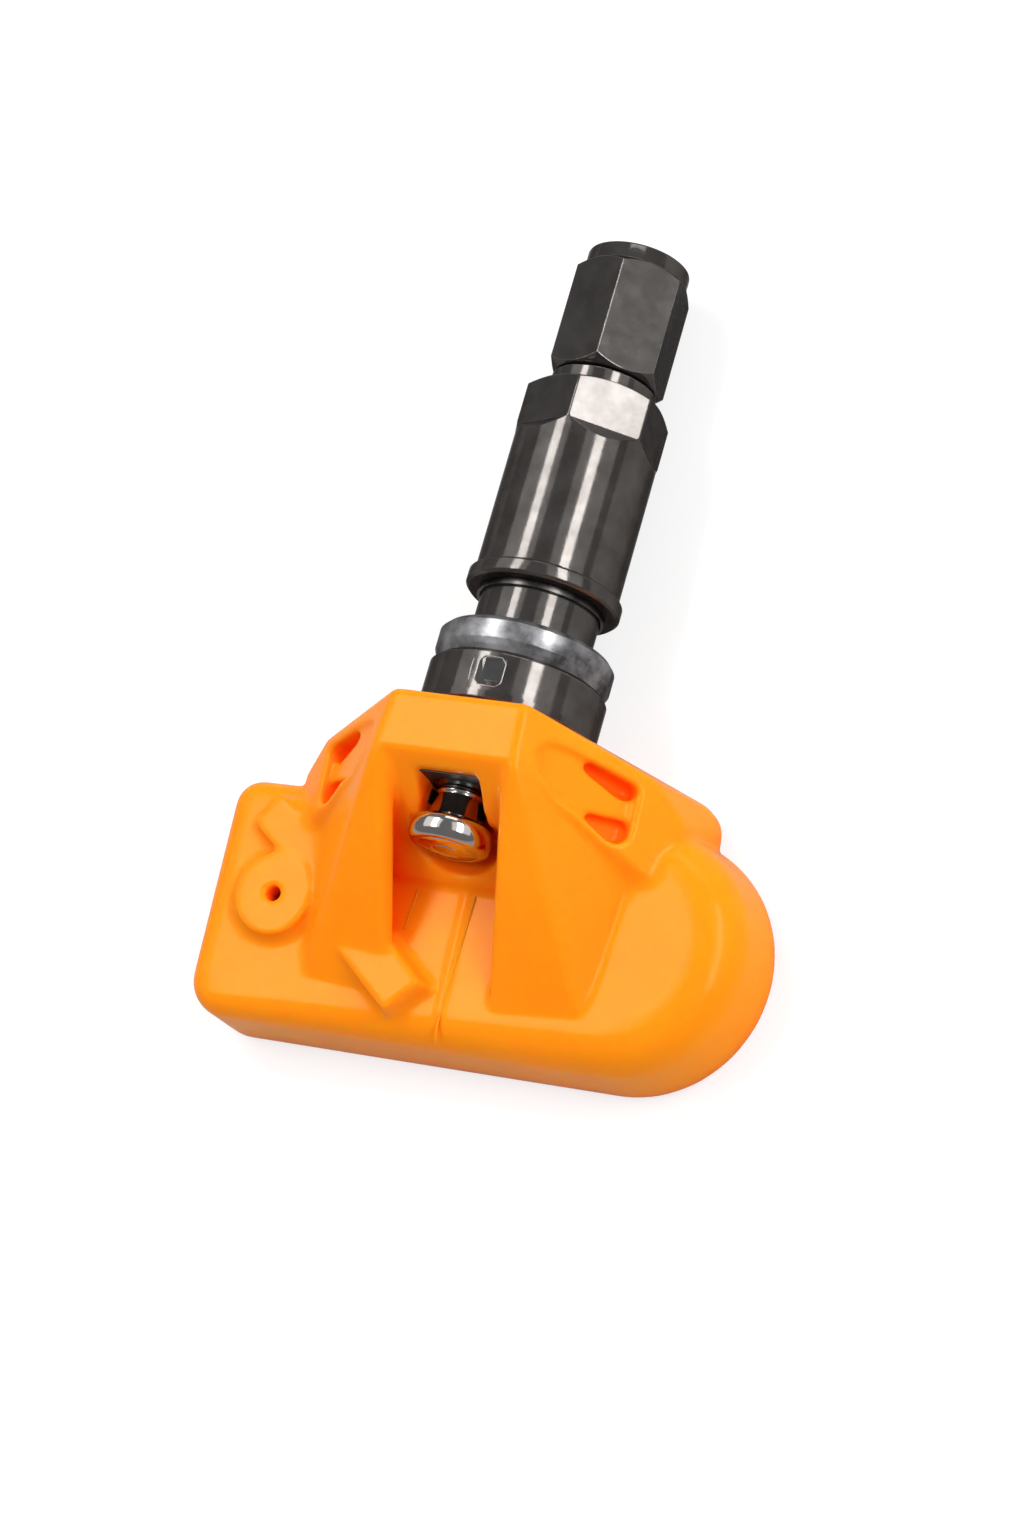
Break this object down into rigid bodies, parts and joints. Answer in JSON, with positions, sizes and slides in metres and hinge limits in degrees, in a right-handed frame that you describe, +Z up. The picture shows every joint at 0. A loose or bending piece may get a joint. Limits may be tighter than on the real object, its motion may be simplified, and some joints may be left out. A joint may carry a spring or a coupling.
{
  "type": "tyre pressure sensor",
  "caption": "Tyre pressure sensor: moulded housing with battery bay, swivelling clamp-in metal valve, seal, clamping nut and screw cap",
  "frame": {"origin": "on the valve axis, at the face of the seal that seats on the wheel rim", "axes": "+X across the housing, with the battery bay at +X; +Y toward the valve mouth; +Z up and out of the housing's front, as the part lies on its back"},
  "size_m": [0.0537, 0.0782, 0.0207],
  "materials": {
    "housing": "moulded, satin",
    "board": "solder mask",
    "chip": "moulded",
    "anodised": "black anodised, turned",
    "nickel": "polished nickel",
    "steel": "bright",
    "brass": "turned",
    "rubber": "satin, mottled",
    "dark_rubber": "moulded",
    "silicone": "soft, moulded",
    "packing": "moulded",
    "copper": "enamelled copper wire",
    "ferrite": "sintered",
    "ceramic": "sintered"
  },
  "bodies": {
    "sensor": {"housing": "housing", "back_cover": "housing", "circuit_board": "board", "coin_cell": "steel", "battery_tab_top": "steel", "battery_tab_bottom": "steel", "pressure_sensor": "chip", "port_gasket": "silicone", "microcontroller": "chip", "crystal": "steel", "capacitors": "ceramic", "coil_core": "ferrite", "coil_winding": "copper", "antenna": "steel"},
    "valve": {"valve_stem": "anodised", "rim_seal": "rubber", "ball_screw": "nickel", "core_plug": "brass", "core_barrel": "brass", "core_gasket": "packing", "core_spring": "steel"},
    "core_pin": {"core_pin": "brass", "core_seat_seal": "dark_rubber"},
    "slip_ring": {"slip_ring": "steel"},
    "nut": {"clamp_nut": "anodised"},
    "cap_seal": {"cap_seal": "dark_rubber"},
    "cap": {"valve_cap": "anodised"}
  },
  "joints": [
    {"name": "valve_swivel", "type": "hinge", "parent": "sensor", "child": "valve", "pos_m": [0, -0.01338, 0.00563], "axis": [1, 0, 0], "range_deg": [-2.5, 2.5]},
    {"name": "nut_travel", "type": "slide", "parent": "valve", "child": "slip_ring", "axis": [0, 0.9965, -0.0831], "range_m": [-0.00327, 0.00098]},
    {"name": "nut_turn", "type": "hinge", "parent": "slip_ring", "child": "nut", "pos_m": [0, 0, 0], "axis": [0, 0.9965, -0.0831], "range_deg": [-1180, 355]},
    {"name": "cap_travel", "type": "slide", "parent": "valve", "child": "cap_seal", "axis": [0, 0.9965, -0.0831], "range_m": [0, 0.0079]},
    {"name": "cap_turn", "type": "hinge", "parent": "cap_seal", "child": "cap", "pos_m": [0, 0, 0], "axis": [0, 0.9965, -0.0831], "range_deg": [0, 3600]},
    {"name": "pin_press", "type": "slide", "parent": "valve", "child": "core_pin", "axis": [0, -0.9965, 0.0831], "range_m": [0, 0.0013], "stiffness_N_per_m": 800, "deforming": ["core_spring"]}
  ],
  "couplings": [
    {"joint": "nut_turn", "follows": "nut_travel", "rad_per_m": 6283.2},
    {"joint": "cap_turn", "follows": "cap_travel", "rad_per_m": 7913.3}
  ]
}
